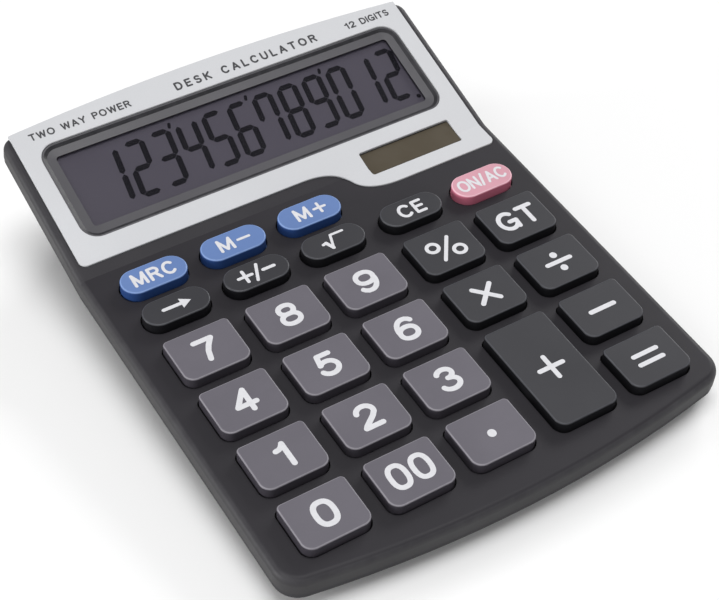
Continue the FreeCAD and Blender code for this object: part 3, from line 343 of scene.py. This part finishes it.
def ink(name, colour, rough=0.45, gloss=0.4):
    """Printed ink: slightly uneven cover with a soft edge to its sheen."""
    mat, tree, bsdf = shader(name, Roughness=rough, Specular_IOR_Level=gloss)
    cloud = noise(tree, coords(tree), 900.0, 3.0, 0.6)
    base = mottled(tree, cloud, colour, 1.0, 0.9, (0.3, 0.75))
    coat(tree, bsdf, base, cloud, rough - 0.06, rough + 0.08)
    bump(tree, bsdf, cloud, 0.006 * MM, 0.4)
    return mat


# Each kind's materials by their slot, with the values of the kind's function after its name.
KINDS = {
    moulded: {
        # Casing: the side colour is painted light on the walls, paler than the top; the edge colour is a painted
        # highlight.
        "casing_plastic": (
            srgb(36, 34, 39), 0.5, 0.12, 0.014,
            ((deck_up, display_up), srgb(52, 51, 53), srgb(62, 61, 64)),
        ),
        # Bezel: the side and edge colours are painted shade on its sloped walls.
        "bezel_plastic": (
            srgb(80, 79, 83), 0.34, 0.2, 0.004,
            ((display_up,), srgb(26, 26, 28), srgb(38, 38, 41)),
        ),
        "cover_plastic": (srgb(50, 50, 53), 0.6, 0.16, 0.02),
        "chip_resin": ((0.006, 0.006, 0.006), 0.15, 0.6, 0.02),
        "capacitor_can": ((0.01, 0.015, 0.08), 0.3, 0.4, 0.01),
        "diode_glass": ((0.5, 0.12, 0.03), 0.15, 0.5, 0.005),
        "cable_film": ((0.5, 0.2, 0.03), 0.3, 0.5, 0.005),
        "wire_red": ((0.4, 0.01, 0.01), 0.45, 0.3, 0.01),
        "wire_black": ((0.012, 0.012, 0.012), 0.45, 0.3, 0.01),
    },
    brushed: {
        "reflector_foil": ((0.7, 0.7, 0.7), 0.45),
        "screw_steel": ((0.62, 0.62, 0.6), 0.3),
        "screw_black": ((0.05, 0.05, 0.052), 0.38, "X", 0.8),
        "cell_steel": ((0.72, 0.72, 0.7), 0.25, "Z"),
        "contact_metal": ((0.75, 0.74, 0.7), 0.22, "Z"),
    },
    rubber: {
        "adhesive_sheet": ((0.55, 0.55, 0.5), 0.6),
        "soft_rubber": ((0.022, 0.022, 0.024), 0.75),
        "keypad_rubber": ((0.5, 0.52, 0.52), 0.6),
    },
    clear: {
        "clear_plastic": ((0.02, 0.02, 0.024), 0.06, 0.08),
        "tinted_plastic": (srgb(79, 71, 57), 0.86, 0.3),
    },
    silver_plate: {"silver_plate": ()},
    lcd_glass: {"lcd_glass": ()},
    solar_glass: {"solar_glass": ()},
    circuit_board: {"circuit_board": ()},
}
# The keys' satin plastic: the colours of the top, the sides (painted shade) and the edge (a painted highlight).
KEY_COLOURS = {
    "key_grey": (srgb(98, 95, 103), srgb(66, 63, 70), srgb(142, 139, 146)),
    "key_black": (srgb(52, 52, 56), srgb(26, 26, 29), srgb(76, 77, 82)),
    "key_blue": (srgb(96, 122, 172), srgb(44, 74, 132), srgb(130, 158, 208)),
    "key_pink": (srgb(200, 147, 160), srgb(212, 118, 142), srgb(234, 188, 200)),
}
looks = {
    name: kind(name, *values)
    for kind, materials in KINDS.items()
    for name, values in materials.items()
}
# Each key's side colour is painted shade and its edge colour a painted highlight.
for name, (top, side, edge) in KEY_COLOURS.items():
    looks[name] = moulded(name, top, 0.4, 0.2, 0.006, ((deck_up,), side, edge))
white_ink = ink("white_ink", srgb(213, 213, 217))
dark_ink = ink("dark_ink", srgb(52, 52, 56))
segment_ink = ink("segment_ink", srgb(10, 8, 18), 0.6, 0.1)

slots = {s["node"]: s["material_slot"] for s in frame["record"]["subparts"]}
for name, obj in nodes.items():
    obj.data.materials.clear()
    obj.data.materials.append(looks[slots[name]])


# ---------------------------------------------------------------- strokes
ARC_STEP = 12  # degrees
LEAST_STEPS = 4


def arc(cx, cy, rx, ry, start, stop, steps=None):
    """Points on an ellipse between two angles in degrees."""
    steps = steps or max(LEAST_STEPS, int(abs(stop - start) / ARC_STEP))
    return [
        (
            cx + rx * math.cos(math.radians(start + (stop - start) * n / steps)),
            cy + ry * math.sin(math.radians(start + (stop - start) * n / steps)),
        )
        for n in range(steps + 1)
    ]


def oblong(cx, cy, rx, ry, power=2.5, steps=40):
    """A closed superellipse, its first point repeated."""
    points = []
    for n in range(steps + 1):
        c, s = math.cos(2 * math.pi * n / steps), math.sin(2 * math.pi * n / steps)
        points.append(
            (
                cx + rx * math.copysign(abs(c) ** (2 / power), c),
                cy + ry * math.copysign(abs(s) ** (2 / power), s),
            )
        )
    return points


def turned_over(lines, width):
    """A glyph's lines turned by half a turn."""
    return [[(width - x, 1 - y) for x, y in line] for line in lines]


# Each glyph is (width, lines) on a centre line whose height is 1.
SIX = [
    oblong(0.37, 0.3, 0.37, 0.3, 2.2),
    arc(0.44, 0.44, 0.44, 0.56, 182, 90, 9) + [(0.56, 0.985), (0.68, 0.92), (0.74, 0.85)],
]
GLYPHS = {
    "0": (0.74, [oblong(0.37, 0.5, 0.37, 0.5)]),
    "1": (0.5, [[(0.42, 0), (0.42, 1)], [(0.42, 0.98), (0.3, 0.84), (0.2, 0.79), (0.06, 0.77)]]),
    "2": (
        0.74,
        [
            arc(0.37, 0.71, 0.35, 0.29, 172, -20)
            + [(0.55, 0.44), (0.3, 0.25), (0.1, 0.1), (0.02, 0)],
            [(0.02, 0), (0.74, 0)],
        ],
    ),
    "3": (
        0.74,
        [
            arc(0.36, 0.765, 0.32, 0.235, 160, -80),
            arc(0.36, 0.27, 0.38, 0.27, 85, -163),
        ],
    ),
    "4": (0.78, [[(0.54, 0), (0.54, 1)], [(0.54, 1), (0, 0.29)], [(0, 0.29), (0.78, 0.29)]]),
    "5": (
        0.74,
        [[(0.66, 0.98), (0.16, 0.98)], [(0.16, 0.98), (0.08, 0.52)]]
        + [[(0.08, 0.52)] + arc(0.36, 0.32, 0.38, 0.32, 122, -155)],
    ),
    "6": (0.74, SIX),
    "7": (0.74, [[(0, 0.98), (0.74, 0.98)], [(0.74, 0.98), (0.5, 0.66), (0.36, 0.4), (0.26, 0)]]),
    "8": (0.74, [oblong(0.37, 0.76, 0.31, 0.24, 2.2), oblong(0.37, 0.265, 0.37, 0.265, 2.2)]),
    "9": (0.74, turned_over(SIX, 0.74)),
    "A": (0.82, [[(0, 0), (0.41, 1)], [(0.41, 1), (0.82, 0)], [(0.14, 0.32), (0.68, 0.32)]]),
    "C": (0.8, [arc(0.43, 0.5, 0.43, 0.5, 45, 315)]),
    "D": (
        0.78,
        [
            [(0, 0), (0, 1)],
            [(0, 1), (0.34, 1)] + arc(0.34, 0.5, 0.44, 0.5, 80, -80) + [(0.34, 0), (0, 0)],
        ],
    ),
    "E": (
        0.62,
        [[(0, 0), (0, 1)], [(0, 1), (0.62, 1)], [(0, 0.52), (0.56, 0.52)], [(0, 0), (0.62, 0)]],
    ),
    "G": (
        0.86,
        [
            arc(0.44, 0.5, 0.44, 0.5, 48, 322),
            [(0.8, 0.02), (0.84, 0.44)],
            [(0.5, 0.44), (0.84, 0.44)],
        ],
    ),
    "I": (0.0, [[(0, 0), (0, 1)]]),
    "K": (0.72, [[(0, 0), (0, 1)], [(0.68, 1), (0, 0.38)], [(0.22, 0.58), (0.72, 0)]]),
    "L": (0.58, [[(0, 1), (0, 0)], [(0, 0), (0.58, 0)]]),
    "M": (
        0.94,
        [
            [(0, 0), (0.04, 1)],
            [(0.04, 1), (0.47, 0.06)],
            [(0.47, 0.06), (0.9, 1)],
            [(0.9, 1), (0.94, 0)],
        ],
    ),
    "N": (0.76, [[(0, 0), (0, 1)], [(0, 1), (0.76, 0)], [(0.76, 0), (0.76, 1)]]),
    "O": (0.92, [oblong(0.46, 0.5, 0.46, 0.5, 2.1)]),
    "P": (
        0.68,
        [
            [(0, 0), (0, 1)],
            [(0, 1), (0.38, 1)] + arc(0.38, 0.74, 0.3, 0.26, 80, -80) + [(0.38, 0.48), (0, 0.48)],
        ],
    ),
    "R": (
        0.74,
        [
            [(0, 0), (0, 1)],
            [(0, 1), (0.4, 1)] + arc(0.4, 0.75, 0.3, 0.25, 80, -80) + [(0.4, 0.5), (0, 0.5)],
            [(0.44, 0.5), (0.74, 0)],
        ],
    ),
    "S": (
        0.68,
        [arc(0.34, 0.75, 0.31, 0.25, 35, 255, 14) + arc(0.34, 0.26, 0.34, 0.26, 75, -145, 14)],
    ),
    "T": (0.76, [[(0, 1), (0.76, 1)], [(0.38, 1), (0.38, 0)]]),
    "U": (
        0.74,
        [[(0, 1), (0, 0.4)] + arc(0.37, 0.37, 0.37, 0.37, 185, 355) + [(0.74, 0.4), (0.74, 1)]],
    ),
    "W": (
        1.16,
        [
            [(0, 1), (0.27, 0)],
            [(0.27, 0), (0.58, 0.95)],
            [(0.58, 0.95), (0.89, 0)],
            [(0.89, 0), (1.16, 1)],
        ],
    ),
    "Y": (0.78, [[(0, 1), (0.39, 0.46)], [(0.78, 1), (0.39, 0.46)], [(0.39, 0.46), (0.39, 0)]]),
    "/": (0.4, [[(0, -0.06), (0.4, 1.06)]]),
    " ": (0.42, []),
}


STROKE_STEP = 0.0015  # mm between crossing strokes
STROKE_LIFT = 0.004  # mm from the surface to the ink's underside
KEY_INK = 0.03  # mm thick
DOT_STEPS = 24
CAP_STEPS = 10
MITRE_LIMIT = 0.4  # a bend's cosine below this is taken as this
MITRE_REACH = 1.6  # half widths


class Strokes:
    """Collects flat strokes with round ends on a surface, as thin raised ink.

    Strokes that cross lie a little above each other, so no two faces share a plane.
    """

    def __init__(self, plane, lift=STROKE_LIFT, thick=KEY_INK):
        self.plane, self.low, self.top = plane, lift, lift + thick
        self.high = self.top
        self.points, self.faces = [], []

    def sign(self):
        """Start a new sign, which touches none of the others, at the first height again."""
        self.high = self.top

    def begin(self):
        """Raise the height a little for a new stroke, and count the points before it."""
        self.high += STROKE_STEP
        return len(self.points)

    def add(self, outline):
        """The upper and lower points of an outline."""
        for z in (self.high, self.low):
            self.points += [self.plane.at(x, y, z) for x, y in outline]

    def skirt(self, first, ring, count):
        """Side faces between upper points and the lower ones, count further on."""
        for n, m in zip(ring, ring[1:] + ring[:1]):
            self.faces.append((first + n, first + count + n, first + count + m, first + m))

    def solid(self, outline):
        """A convex flat shape from its outline, anticlockwise."""
        first, count = self.begin(), len(outline)
        self.add(outline)
        self.faces.append(tuple(range(first, first + count)))
        self.skirt(first, list(range(count)), count)

    def dot(self, x, y, radius):
        """A round dot."""
        last = 360 - 360 / DOT_STEPS
        self.solid(arc(x, y, radius, radius, 0, last, DOT_STEPS - 1))

    def line(self, points, width):
        """A stroke through points: round ends, or a ring if the last point is the first."""
        half = width / 2
        closed = math.dist(points[0], points[-1]) < 1e-9
        path = points[:-1] if closed else points
        count = len(path)
        left, right = [], []
        for n, (x, y) in enumerate(path):
            back = path[n - 1] if n or closed else path[n]
            ahead = path[(n + 1) % count] if n < count - 1 or closed else path[n]
            a = math.atan2(y - back[1], x - back[0]) if back != (x, y) else None
            b = math.atan2(ahead[1] - y, ahead[0] - x) if ahead != (x, y) else a
            a = b if a is None else a
            bend = (b - a + math.pi) % (2 * math.pi) - math.pi
            reach = min(half / max(math.cos(bend / 2), MITRE_LIMIT), MITRE_REACH * half)
            nx, ny = -math.sin(a + bend / 2) * reach, math.cos(a + bend / 2) * reach
            left.append((x + nx, y + ny))
            right.append((x - nx, y - ny))
        first = self.begin()
        if closed:
            self.add(left + right)
            total = 2 * count
            for n in range(count):
                m = (n + 1) % count
                self.faces.append((first + n, first + count + n, first + count + m, first + m))
            self.skirt(first, list(range(count))[::-1], total)
            self.skirt(first, list(range(count, total)), total)
            return
        caps = []
        for (x, y), side in ((path[-1], right[-1]), (path[0], left[0])):
            start = math.degrees(math.atan2(side[1] - y, side[0] - x))
            caps.append(arc(x, y, half, half, start, start + 180, CAP_STEPS)[1:-1])
        outline = right + caps[0] + left[::-1] + caps[1]
        self.add(outline)
        total, bend = len(outline), count + len(caps[0])
        for n in range(count - 1):
            self.faces.append(
                tuple(first + k for k in (n, n + 1, bend + count - 2 - n, bend + count - 1 - n))
            )
        end = [count - 1] + list(range(count, bend)) + [bend]
        start = [bend + count - 1] + list(range(bend + count, total)) + [0]
        self.faces.append(tuple(first + k for k in end))
        self.faces.append(tuple(first + k for k in start))
        self.skirt(first, list(range(total)), total)

    def text(self, words, x, y, height, width, gap, narrow=1.0):
        """Words centred on x, y. Height is the full letter height and width the stroke's."""
        size = height - width
        total = sum(GLYPHS[c][0] * size * narrow + width for c in words) + gap * (len(words) - 1)
        at = x - total / 2 + width / 2
        for letter in words:
            wide, lines = GLYPHS[letter]
            self.sign()
            for line in lines:
                points = [(at + px * size * narrow, y - size / 2 + py * size) for px, py in line]
                self.line(points, width)
            at += wide * size * narrow + width + gap

    def finish(self, name, material, body):
        """The strokes as one piece that moves with a body."""
        mesh = bpy.data.meshes.new(name)
        mesh.from_pydata(self.points, [], self.faces)
        mesh.materials.append(material)
        obj = bpy.data.objects.new(name, mesh)
        bpy.context.scene.collection.objects.link(obj)
        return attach(obj, body)


# ---------------------------------------------------------------- legends
def level(x0, x1, y, width):
    """A level stroke with its width."""
    return [(x0, y), (x1, y)], width


def plus(x, y, reach, width):
    """The two strokes of a plus sign."""
    return [level(x - reach, x + reach, y, width), ([(x, y - reach), (x, y + reach)], width)]


# The legends are in mm from the middle of the key's top. WORDS has the text, its middle,
# letter height, stroke width, gap and narrowing; LINES has points and a width.
MEMORY = ("M", -1.8, 0.1, 3.85, 0.7, 0.3)
WORDS = {figure: (figure, 0, 0.05, 6.45, 1.18, 0.3) for figure in "0123456789"}
WORDS |= {
    "00": ("00", 0, 0.1, 6.45, 1.12, 0.6, 0.88),
    "gt": ("GT", 0, -0.1, 5.8, 1.08, 0.5),
    "ce": ("CE", 0, 0, 4.0, 0.74, 0.55),
    "on_ac": ("ON/AC", 0, 0.1, 3.6, 0.6, 0.15, 0.8),
    "mrc": ("MRC", 0, 0.1, 3.85, 0.7, 0.45, 0.9),
    "memory_minus": MEMORY,
    "memory_plus": MEMORY,
}
LINES = {
    "plus": plus(0, 0, 2.85, 1.08),
    "minus": [level(-2.95, 2.95, 0, 1.12)],
    "equals": [level(-2.9, 2.9, -1.2, 1.05), level(-2.9, 2.9, 1.2, 1.05)],
    "times": [([(-2.2, -2.2), (2.2, 2.2)], 1.1), ([(-2.2, 2.2), (2.2, -2.2)], 1.1)],
    "divide": [level(-2.95, 2.95, 0, 1.08)],
    "percent": [
        (oblong(-2.6, 1.15, 1.35, 1.25, 2.0, 28), 0.85),
        (oblong(2.6, -1.75, 1.35, 1.25, 2.0, 28), 0.85),
        ([(-2.0, -3.1), (2.0, 2.7)], 0.85),
    ],
    "memory_minus": [level(1.2, 3.9, 0.1, 0.66)],
    "memory_plus": [level(1.2, 3.9, 0.1, 0.66), ([(2.55, -1.25), (2.55, 1.45)], 0.66)],
    "backspace": [level(-2.9, 1.4, 0, 0.85)],
    "sign": plus(-2.7, 0, 1.6, 0.75)
    + [([(-0.75, -2.1), (0.95, 2.1)], 0.7), level(1.6, 4.2, 0, 0.8)],
    "root": [
        ([(-2.6, -0.1), (-1.8, 0.1)], 0.7),
        ([(-1.8, 0.1), (-1.0, -1.8)], 0.85),
        ([(-1.0, -1.8), (0.2, 1.8)], 0.6),
        ([(0.2, 1.8), (3.2, 1.8)], 0.6),
    ],
}
DOTS = {"point": [(-0.2, -0.2, 0.95)], "divide": [(0, 2.05, 0.85), (0, -2.05, 0.85)]}
ARROW_HEAD = [(1.1, -1.4), (3.4, 0), (1.1, 1.4)]


def draw_legend(pen, sign):
    """The sign on one key, centred on its top."""
    if sign in WORDS:
        pen.text(*WORDS[sign])
    for points, width in LINES.get(sign, []):
        pen.line(points, width)
    for dot in DOTS.get(sign, []):
        pen.dot(*dot)
    if sign == "backspace":
        pen.solid(ARROW_HEAD)


for name, plane in key_planes.items():
    sign = name.removeprefix("key_")
    pen = Strokes(plane)
    draw_legend(pen, sign)
    pen.finish("legend_" + sign, white_ink, name + "_cap")


# ---------------------------------------------------------------- display
FIGURES = "123456789012"
# In mm, on the panel:
DIGIT_PITCH = 6.59
FIRST_DIGIT = -32.95
DIGIT_RISE = 0.3
DIGIT_HEIGHT = 15.0
DIGIT_SPAN = 4.0  # between the middles of the two upright bars
SEGMENT = 1.4  # a bar's width
SEGMENT_CUT = 0.45 * SEGMENT  # the length of a bar's slanted end
SEGMENT_GAP = 0.12  # from a bar's tip to the middle of the corner
TIP_SHARE = 0.1  # the blunt tip's width as a share of the bar's
SLANT = math.tan(math.radians(7.5))
GROUP_ENDS = (2, 5, 8)  # the figures with a thousands mark after them
MARK_SHIFT = 0.65
MARK_LEAN = 0.15
MARK_LOW, MARK_HIGH = 7.3, 8.1
MARK_WIDTH = 0.75
POINT_SHIFT = 0.6
POINT_DROP = 7.9
POINT_RADIUS = 0.55
SEGMENT_LIFT, SEGMENT_INK = 0.01, 0.012
LIT = {
    "0": "abcdef", "1": "bc", "2": "abged", "3": "abgcd", "4": "fgbc",
    "5": "afgcd", "6": "afgedc", "7": "fabc", "8": "abcdefg", "9": "abcdfg",
}


def segment_bar(pen, x0, y0, x1, y1, cx, cy):
    """One bar of a digit with slanted ends, leaning with the digit."""
    dx, dy = x1 - x0, y1 - y0
    size = math.hypot(dx, dy)
    ux, uy = dx / size, dy / size
    h, tip = SEGMENT / 2, TIP_SHARE * SEGMENT / 2
    near, full = SEGMENT_GAP, SEGMENT_CUT + SEGMENT_GAP
    corners = [
        (near, tip), (full, h), (size - full, h), (size - near, tip),
        (size - near, -tip), (size - full, -h), (full, -h), (near, -tip),
    ]
    outline = []
    for along, across in reversed(corners):
        px, py = x0 + ux * along - uy * across, y0 + uy * along + ux * across
        outline.append((cx + px + SLANT * py, cy + py))
    pen.solid(outline)


def display_digit(pen, figure, cx, cy):
    """The lit bars of one figure."""
    half, tall = DIGIT_SPAN / 2, DIGIT_HEIGHT / 2 - SEGMENT / 2
    places = {
        "a": (-half, tall, half, tall),
        "g": (-half, 0, half, 0),
        "d": (-half, -tall, half, -tall),
        "f": (-half, 0, -half, tall),
        "b": (half, 0, half, tall),
        "e": (-half, -tall, -half, 0),
        "c": (half, -tall, half, 0),
    }
    pen.sign()
    for bar in LIT[figure]:
        segment_bar(pen, *places[bar], cx, cy)


pen = Strokes(lcd_plane, SEGMENT_LIFT, SEGMENT_INK)
for n, figure in enumerate(FIGURES):
    middle = FIRST_DIGIT + n * DIGIT_PITCH
    behind = middle + DIGIT_PITCH / 2
    display_digit(pen, figure, middle, DIGIT_RISE)
    if n in GROUP_ENDS:
        x = behind + MARK_SHIFT
        low, high = DIGIT_RISE + MARK_LOW, DIGIT_RISE + MARK_HIGH
        pen.line([(x - MARK_LEAN, low), (x + MARK_LEAN, high)], MARK_WIDTH)
pen.dot(behind - POINT_SHIFT, DIGIT_RISE - POINT_DROP, POINT_RADIUS)
pen.finish("lcd_segments", segment_ink, "casing")

# ---------------------------------------------------------------- plate lettering
PLATE_INK = 0.02
LETTERING_RISE = 16.0  # above the lens's middle, along the plate
# Text, x of its middle, letter height, stroke width, gap
LETTERING = (
    ("TWO WAY POWER", -34.0, 1.9, 0.37, 0.3),
    ("DESK CALCULATOR", 8.3, 2.25, 0.46, 0.8),
    ("12 DIGITS", 41.2, 1.9, 0.37, 0.2),
)
pen = Strokes(plate_plane, STROKE_LIFT, PLATE_INK)
for words, x, height, width, gap in LETTERING:
    pen.text(words, x, LETTERING_RISE, height, width, gap)
pen.finish("plate_lettering", dark_ink, "casing")

# ---------------------------------------------------------------- stage
FLOOR_REACH = 8.0
WORLD_STRENGTH = 0.3
floor = bpy.data.meshes.new("floor")
corners = [(x * FLOOR_REACH, y * FLOOR_REACH, 0) for x, y in ((-1, -1), (1, -1), (1, 1), (-1, 1))]
floor.from_pydata(corners, [], [(0, 1, 2, 3)])
mat, tree, bsdf = shader("floor", Roughness=0.9)
cloud = noise(tree, coords(tree), 3.0)
base = blend_colour(tree, cloud, (0.86, 0.86, 0.86), (0.9, 0.9, 0.9))
tree.links.new(base, bsdf.inputs["Base Color"])
floor.materials.append(mat)
floor_obj = bpy.data.objects.new("floor", floor)
bpy.context.scene.collection.objects.link(floor_obj)

world = bpy.data.worlds.new("world")
world.use_nodes = True
background = world.node_tree.nodes["Background"]
background.inputs["Color"].default_value = (1, 1, 1, 1)
background.inputs["Strength"].default_value = WORLD_STRENGTH
bpy.context.scene.world = world
bpy.context.scene.view_settings.view_transform = "Standard"


def softbox(name, place, width, height, power):
    """A rectangular area light that faces the frame's origin."""
    light = bpy.data.lights.new(name, "AREA")
    light.shape, light.size, light.size_y, light.energy = "RECTANGLE", width, height, power
    obj = bpy.data.objects.new(name, light)
    obj.location = place
    obj.rotation_mode = "QUATERNION"
    obj.rotation_quaternion = (-Vector(place)).to_track_quat("-Z", "Y")
    bpy.context.scene.collection.objects.link(obj)


# Place, width, height (m) and power (W)
SOFTBOXES = {
    "overhead": ((0.1, -0.1, 2.0), 1.2, 1.2, 25.0),
    "rear_right": ((1.5, 0.7, 0.9), 0.9, 0.5, 14.0),
    "front": ((-0.9, -1.0, 0.75), 0.7, 0.5, 4.0),
    "left": ((-1.4, 0.3, 0.28), 0.6, 0.3, 11.0),
}
for name, values in SOFTBOXES.items():
    softbox(name, *values)

# ---------------------------------------------------------------- camera
# The photo's camera, from its perspective
CAMERA_PLACE = (-0.13398, -0.21952, 0.24936)
CAMERA_RIGHT = Vector((0.8490, -0.5284, -0.0030))
CAMERA_UP = Vector((0.3655, 0.5832, 0.7254))
FOCAL_LENGTH, SENSOR_WIDTH = 81.41, 36.0  # mm

lens = bpy.data.cameras.new("camera")
lens.lens, lens.sensor_width = FOCAL_LENGTH, SENSOR_WIDTH
lens.clip_start, lens.clip_end = 0.01, 20.0
camera = bpy.data.objects.new("camera", lens)
right, back = CAMERA_RIGHT.normalized(), CAMERA_RIGHT.cross(CAMERA_UP).normalized()
turn = Matrix((right, back.cross(right), back)).transposed().to_4x4()
camera.matrix_world = Matrix.Translation(CAMERA_PLACE) @ turn
bpy.context.scene.collection.objects.link(camera)
bpy.context.scene.camera = camera
